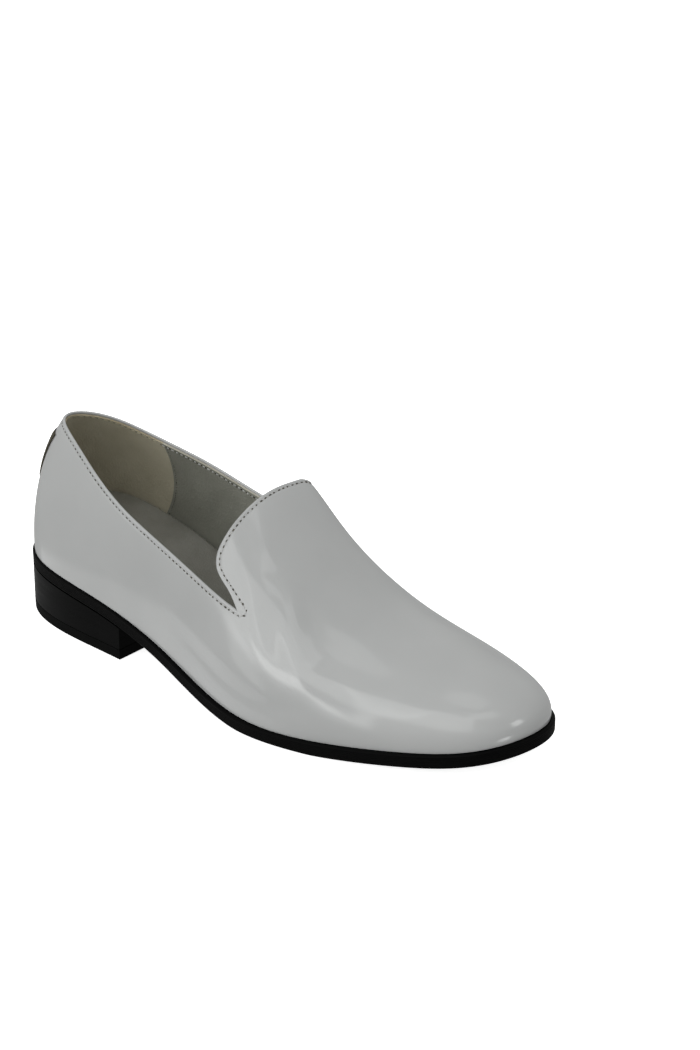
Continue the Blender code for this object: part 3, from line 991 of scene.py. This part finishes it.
def far_outside(point):
    """A point far out to the side and up, so that what faces away from it faces the inside."""
    return np.array([point[0], FAR_SIDE * np.sign(point[1] - ridge_side(point[0])), point[2] + FAR_UP])


stitch_rows = stitch_tree()
white_thread = thread("white_thread", dark=(0.42, 0.42, 0.41), light=(0.52, 0.52, 0.50))
beige_thread = thread("beige_thread", dark=(0.44, 0.40, 0.28), light=(0.54, 0.50, 0.37))
grey_thread = thread("grey_thread", dark=(0.10, 0.10, 0.085), light=(0.15, 0.15, 0.13))
# The two hole materials are painted shade: dark beads that stand for the shade inside the needle holes.
painted_needle_hole = thread("needle_hole_shade", dark=(0.02, 0.017, 0.011), light=(0.075, 0.064, 0.042))
painted_beige_hole = thread("beige_hole_shade", dark=(0.10, 0.09, 0.06), light=(0.14, 0.125, 0.085))

loop = np.concatenate([top_edge, top_edge[:1]])
loop_away = np.concatenate([top_away, top_away[:1]])
loop_normal = np.concatenate([top_normal, top_normal[:1]])
skin_tree = BVHTree.FromPolygons([tuple(point) for point in leather_points], leather_faces)
outside_row = laid_on(eased(loop - STITCH_INSET * loop_away), skin_tree, inside_middle, THREAD_LIFT)
sewn_row("top_line_stitches", *outside_row, OUTSIDE_STITCH, white_thread, painted_needle_hole, seed=3, slot="upper")

heel_turn_end = float(seam_share(np.array(1.0))) * turn_of(NOTCH)
inside_line = loop - STITCH_INSET_INSIDE * loop_away - HEEL_LINING_INSIDE * loop_normal
loop_turn = np.concatenate([edge_rows[:, 0], edge_rows[:1, 0] + 2 * pi])
heel_tree = face_tree(heel_lining_face)
front_tree = face_tree(front_lining_face)
front_part = (loop_turn > heel_turn_end) & (loop_turn < 2 * pi - heel_turn_end)
front_row = laid_on(eased(inside_line[front_part]), front_tree, far_outside, FRONT_THREAD_LIFT)
sewn_row("front_lining_stitches", *front_row, FRONT_STITCH, white_thread, painted_needle_hole, seed=5, slot="insole")
heel_parts = {"lateral": loop_turn < heel_turn_end, "medial": loop_turn > 2 * pi - heel_turn_end}
for name, part in heel_parts.items():
    heel_row = laid_on(eased(inside_line[part]), heel_tree, far_outside, THREAD_LIFT)
    row_name = name + "_heel_lining_stitches"
    sewn_row(row_name, *heel_row, HEEL_STITCH, beige_thread, painted_beige_hole, seed=7, slot="insole")

seam_up = np.linspace(*SEAM_STITCH_SPAN, SEAM_SAMPLES)
for name, side in (("lateral", LATERAL), ("medial", MEDIAL)):
    seam_turn, seam_rise = quarter_grid(seam_share(seam_up) + SEAM_STITCH_AHEAD, seam_up, side)
    seam_line = last_surface(seam_turn, seam_rise) - FRONT_LINING_INSIDE * last_normal(seam_turn, seam_rise)
    seam_row = laid_on(eased(seam_line), front_tree, far_outside, THREAD_LIFT)
    row_name = name + "_lining_seam_stitches"
    sewn_row(row_name, *seam_row, SEAM_STITCH, grey_thread, painted_needle_hole, seed=11, slot="insole")


# Back tab: a short strip of thin olive-gold leather, bent round the back of the heel just below the top line
# and fixed flat on the upper. Its outer face falls off softly to its cut edges.

TAB_TOP = 90.5
TAB_FOOT = 65.5
TAB_TURN_TOP = 0.315
TAB_TURN_FOOT = 0.215
TAB_THICKNESS = 0.85
TAB_GAP = 0.15
TAB_EDGE_SHARE = 0.45
TAB_FALL = 0.12
TAB_FALL_UP = 0.7
TAB_COLUMNS = 40
TAB_ROWS = 24


def tab_skin(across, up):
    """Points and normals of the upper under the tab."""
    turn = across * (TAB_TURN_FOOT + (TAB_TURN_TOP - TAB_TURN_FOOT) * up)
    rise = rise_at(turn, TAB_FOOT + (TAB_TOP - TAB_FOOT) * up)
    return last_surface(turn, rise), last_normal(turn, rise)


def tab_mesh():
    """The tab's two faces, the outer one falling off softly to its edges."""
    across, up = np.meshgrid(np.linspace(-1, 1, TAB_COLUMNS + 1), np.linspace(0, 1, TAB_ROWS + 1))
    skin, normal = tab_skin(across, up)
    fall = np.minimum(np.minimum(1 - np.abs(across), up / TAB_FALL_UP), (1 - up) / TAB_FALL_UP)
    swell = np.sqrt(np.clip(fall / TAB_FALL, 0, 1))
    crown = TAB_THICKNESS * (TAB_EDGE_SHARE + (1 - TAB_EDGE_SHARE) * swell)
    inner = skin + normal * TAB_GAP
    outer = inner + normal * crown[..., None]
    vertices = np.concatenate([inner.reshape(-1, 3), outer.reshape(-1, 3)])
    number = np.arange(skin[..., 0].size).reshape(skin.shape[:2])
    quads = grid_quads(number)
    rim = np.concatenate([number[0, :-1], number[:-1, -1], number[-1, :0:-1], number[:0:-1, 0]])
    onward = np.roll(rim, -1)
    edges = np.stack([rim, onward, onward + number.size, rim + number.size], -1)
    return vertices, np.concatenate([quads, quads + number.size, edges]).tolist()


tab_leather = lining_leather(
    "olive_gold_leather", dark=(0.026, 0.021, 0.007), light=(0.045, 0.036, 0.013), pore_scale=800
)
back_tab = add_piece("back_seam_tab", *tab_mesh(), [tab_leather])
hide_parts("back_tab")
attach(back_tab, "root")


# Outsole: a thin black rubber unit sole, cemented on under the lasted upper. Its edge is trimmed square with
# the corners eased, stands a little proud of the upper all round, and is inked and lightly burnished.

SOLE_THICKNESS = 6.2
SOLE_ROUNDING = 0.9
LEDGE_HEEL = 1.0
LEDGE_FOREPART = 1.9
LEDGE_STATIONS = (70.0, 130.0)
SEAM_GAP = 0.3
SOLE_EDGE_STEPS = 5
RIB_SHARES = (0.12, 0.3, 0.48, 0.66, 0.84)
RIB_HALF = 0.04
RIB_DEPTH = 0.16
STREAK_STRETCH = (0.25, 0.25, 3.0)
STREAK_DULLNESS = 0.06


def sole_ledge(station):
    """How far the sole's edge stands out from the upper."""
    return np.interp(station, LEDGE_STATIONS, (LEDGE_HEEL, LEDGE_FOREPART))


def sole_top(station):
    return seat(station) - SEAM_GAP


def sole_bottom(station):
    """Underside of the sole, flat on the ground under the ball."""
    return np.maximum(sole_top(station) - SOLE_THICKNESS, 0)


def sole_loop(turn, inset, height):
    """Loop round the sole at an inset from its edge."""
    plan = feather(turn) + outward(turn) * (sole_ledge(station_of(turn)) - inset)[:, None]
    return np.column_stack([plan, height])


def outsole_loops():
    """Rounded upper edge, straight side with fine grooves, and rounded lower edge."""
    turn = np.linspace(0, 2 * pi, 2 * OUTLINE_STEPS, endpoint=False)
    station = station_of(turn)
    bends = np.linspace(0, pi / 2, SOLE_EDGE_STEPS + 1)
    upper_edge = []
    for bend in bends:
        height = sole_top(station) - SOLE_ROUNDING * (1 - cos(bend))
        upper_edge.append(sole_loop(turn, SOLE_ROUNDING * (1 - sin(bend)), height))
    lower_edge = []
    for bend in bends:
        height = sole_bottom(station) + SOLE_ROUNDING * (1 - sin(bend))
        lower_edge.append(sole_loop(turn, SOLE_ROUNDING * (1 - cos(bend)), height))
    side_top = sole_top(station) - SOLE_ROUNDING
    side_height = side_top - sole_bottom(station) - SOLE_ROUNDING
    ribs = [
        sole_loop(turn, depth, side_top - side_height * (share + shift))
        for share in RIB_SHARES
        for shift, depth in ((-RIB_HALF, 0.0), (0.0, RIB_DEPTH), (RIB_HALF, 0.0))
    ]
    return upper_edge + ribs + lower_edge


def black_rubber(name, dark, light, roughness, gloss, grain):
    """Inked rubber or plastic: a cloudy black with faint streaks along the trimmed edge and fine grain."""
    look, shader, place = new_material(name, roughness)
    shader.inputs["Specular IOR Level"].default_value = gloss
    links = look.node_tree.links
    stretch = look.node_tree.nodes.new("ShaderNodeMapping")
    stretch.inputs["Scale"].default_value = STREAK_STRETCH
    links.new(place, stretch.inputs["Vector"])
    streaks = add_noise(look, stretch.outputs["Vector"], scale=150, detail=4)
    links.new(add_ramp(look, streaks, (dark,) * 3, (light,) * 3), shader.inputs["Base Color"])
    dullness = add_range(look, streaks, roughness - STREAK_DULLNESS, roughness + STREAK_DULLNESS)
    links.new(dullness, shader.inputs["Roughness"])
    links.new(add_bump(look, add_noise(look, place, scale=1200, detail=3), grain), shader.inputs["Normal"])
    return look


sole_rubber = black_rubber(
    "black_sole_rubber", dark=0.0012, light=0.0022, roughness=0.5, gloss=0.035, grain=0.00006
)
outsole = add_piece("outsole_unit", *stacked(outsole_loops()), [sole_rubber], sharp_angle=50)
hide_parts("outsole")
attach(outsole, "root")


# Heel: a moulded block with a straight breast, nailed up from inside, and under it the rubber top piece that
# takes the wear. Both follow the sole's outline; the block is polished a little brighter than the sole.

HEEL_BREAST = 85.0
HEEL_FLARE = 0.3
TOP_PIECE_THICKNESS = 5.0
HEEL_STEPS = 60
HEEL_BEVEL = 0.5
HEEL_BEVEL_SEGMENTS = 3
HEEL_BEVEL_ANGLE = 50


def heel_loop(inset, height):
    """Loop round the heel: its curved back and sides, closed by the straight breast across the front."""
    back = np.linspace(0, turn_of(HEEL_BREAST), HEEL_STEPS + 1)
    turn = np.concatenate([back, -back[:0:-1]])
    return sole_loop(turn, inset, height(station_of(turn)))


def heel_piece(name, loops, look, node):
    """A piece of the heel with its sharp edges broken by a small bevel."""
    piece = add_piece(name, *stacked(loops), [look])
    bevel = piece.modifiers.new("edges", "BEVEL")
    bevel.width = HEEL_BEVEL * MM
    bevel.segments = HEEL_BEVEL_SEGMENTS
    bevel.limit_method = "ANGLE"
    bevel.angle_limit = radians(HEEL_BEVEL_ANGLE)
    make_plain(piece, bevel)
    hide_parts(node)
    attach(piece, "root")


block_loops = [
    heel_loop(0.0, lambda station: sole_bottom(station) - SEAM_GAP),
    heel_loop(-HEEL_FLARE, lambda station: np.full_like(station, TOP_PIECE_THICKNESS + SEAM_GAP)),
]
top_piece_loops = [
    heel_loop(-HEEL_FLARE, lambda station: np.full_like(station, TOP_PIECE_THICKNESS)),
    heel_loop(-HEEL_FLARE, lambda station: np.zeros_like(station)),
]
block_plastic = black_rubber(
    "black_heel_plastic", dark=0.001, light=0.0018, roughness=0.32, gloss=0.028, grain=0.00003
)
top_piece_rubber = black_rubber(
    "black_top_piece_rubber", dark=0.0012, light=0.0022, roughness=0.6, gloss=0.03, grain=0.0001
)
heel_piece("heel_block_moulded", block_loops, block_plastic, "heel_block")
heel_piece("heel_top_piece_rubber", top_piece_loops, top_piece_rubber, "heel_top_piece")


# Stage: a wide sheet of white paper under soft studio light, and the camera at the photograph's angle. Each
# light panel is given by its edges (azimuths and elevations in degrees), how soft each is, and its strength.

FLOOR_REACH = 8.0
FLOOR_DROP = 0.0003
CORNER_SIGNS = ((-1, -1), (1, -1), (1, 1), (-1, 1))
AMBIENT = 0.42
Panel = namedtuple("Panel", "start start_soft end end_soft foot foot_soft head head_soft strength")
PANELS = (
    Panel(-200, 10, 200, 10, 15, 40, 100, 2, 0.25),
    Panel(-200, 10, 200, 10, 80, 3, 100, 2, 0.6),
    Panel(-132, 16, -91.5, 2, 0, 12, 60, 6, 1.3),
    Panel(-94, 5, -54, 6, 30, 12, 64, 4, 1.1),
    Panel(-62, 8, 2, 4, 61, 4, 73, 3, 0.9),
    Panel(-136, 8, -112, 12, -13, 4, 14, 14, 0.9),
    Panel(-106, 8, -92.5, 3, 6, 8, 25, 10, 2.2),
    Panel(-190, 10, -112, 16, -50, 4, -22, 3, 0.45),
    Panel(2, 5, 18, 5, 18, 5, 33, 5, 3.0),
    Panel(-16, 5, 0, 5, -26, 4, -14, 4, 3.5),
)
CAMERA_AIM = (137.2, 70.6, 40.0)
CAMERA_AZIMUTH = 39.6
CAMERA_ELEVATION = 23.9
CAMERA_DISTANCE = 1000.0
FOCAL_PIXELS = 2055.0
PICTURE_HEIGHT = 1050
SENSOR_HEIGHT = 36.0
AXIS_PIXELS_DOWN = 15


def white_floor():
    """Seamless white paper."""
    look, shader, place = new_material("white_paper", 0.9)
    links = look.node_tree.links
    paper = add_ramp(look, add_noise(look, place, scale=4), (0.93, 0.93, 0.93), (0.95, 0.95, 0.95))
    links.new(paper, shader.inputs["Base Color"])
    shader.inputs["Specular IOR Level"].default_value = 0.0
    shader.inputs["Emission Color"].default_value = (1, 1, 1, 1)
    shader.inputs["Emission Strength"].default_value = 0.85
    return look


def add_math(tree, operation, *values):
    """A sum, product or other operation on values, which are numbers or outputs of other nodes."""
    node = tree.nodes.new("ShaderNodeMath")
    node.operation = operation
    for socket, value in zip(node.inputs, values):
        if isinstance(value, bpy.types.NodeSocket):
            tree.links.new(value, socket)
        else:
            socket.default_value = value
    return node.outputs["Value"]


def add_edge(tree, angle, degrees, softness, before, after):
    """A soft edge of a light panel: goes from before to after as an angle passes the given degrees."""
    edge = tree.nodes.new("ShaderNodeMapRange")
    edge.interpolation_type = "SMOOTHSTEP"
    edge.inputs["From Min"].default_value = radians(degrees - softness / 2)
    edge.inputs["From Max"].default_value = radians(degrees + softness / 2)
    edge.inputs["To Min"].default_value = before
    edge.inputs["To Max"].default_value = after
    tree.links.new(angle, edge.inputs["Value"])
    return edge.outputs["Result"]


def studio_light(world):
    """Even light from all round, with soft panels where the studio has its lamps."""
    world.use_nodes = True
    tree = world.node_tree
    background = tree.nodes["Background"]
    background.inputs["Color"].default_value = (0.985, 0.995, 0.985, 1)
    split = tree.nodes.new("ShaderNodeSeparateXYZ")
    tree.links.new(tree.nodes.new("ShaderNodeTexCoord").outputs["Generated"], split.inputs["Vector"])
    azimuth = add_math(tree, "ARCTAN2", split.outputs["Y"], split.outputs["X"])
    elevation = add_math(tree, "ARCSINE", split.outputs["Z"])
    light = AMBIENT
    for panel in PANELS:
        sides = (
            add_edge(tree, azimuth, panel.start, panel.start_soft, 0, 1),
            add_edge(tree, azimuth, panel.end, panel.end_soft, 1, 0),
            add_edge(tree, elevation, panel.foot, panel.foot_soft, 0, 1),
            add_edge(tree, elevation, panel.head, panel.head_soft, 1, 0),
        )
        shine = panel.strength
        for side in sides:
            shine = add_math(tree, "MULTIPLY", side, shine)
        light = add_math(tree, "ADD", shine, light)
    seen = tree.nodes.new("ShaderNodeLightPath").outputs["Is Camera Ray"]
    tree.links.new(add_math(tree, "MAXIMUM", light, seen), background.inputs["Strength"])


floor_mesh = bpy.data.meshes.new("floor")
floor_corners = [(x * FLOOR_REACH, y * FLOOR_REACH, -FLOOR_DROP) for x, y in CORNER_SIGNS]
floor_mesh.from_pydata(floor_corners, [], [(0, 1, 2, 3)])
floor_mesh.materials.append(white_floor())
floor = bpy.data.objects.new("floor", floor_mesh)
bpy.context.collection.objects.link(floor)
floor.visible_diffuse = False
floor.visible_glossy = False

studio = bpy.data.worlds.new("studio")
studio_light(studio)
bpy.context.scene.world = studio
bpy.context.scene.view_settings.view_transform = "Standard"

azimuth = radians(CAMERA_AZIMUTH)
elevation = radians(CAMERA_ELEVATION)
away = Vector((sin(azimuth) * cos(elevation), -cos(azimuth) * cos(elevation), sin(elevation)))
lens = bpy.data.cameras.new("camera")
lens.sensor_fit = "VERTICAL"
lens.sensor_height = SENSOR_HEIGHT
lens.lens = FOCAL_PIXELS / PICTURE_HEIGHT * SENSOR_HEIGHT
lens.shift_y = AXIS_PIXELS_DOWN / PICTURE_HEIGHT
camera = bpy.data.objects.new("camera", lens)
camera.location = Vector(placed(CAMERA_AIM)) + away * CAMERA_DISTANCE * MM
camera.rotation_euler = (-away).to_track_quat("-Z", "Y").to_euler()
bpy.context.collection.objects.link(camera)
bpy.context.scene.camera = camera
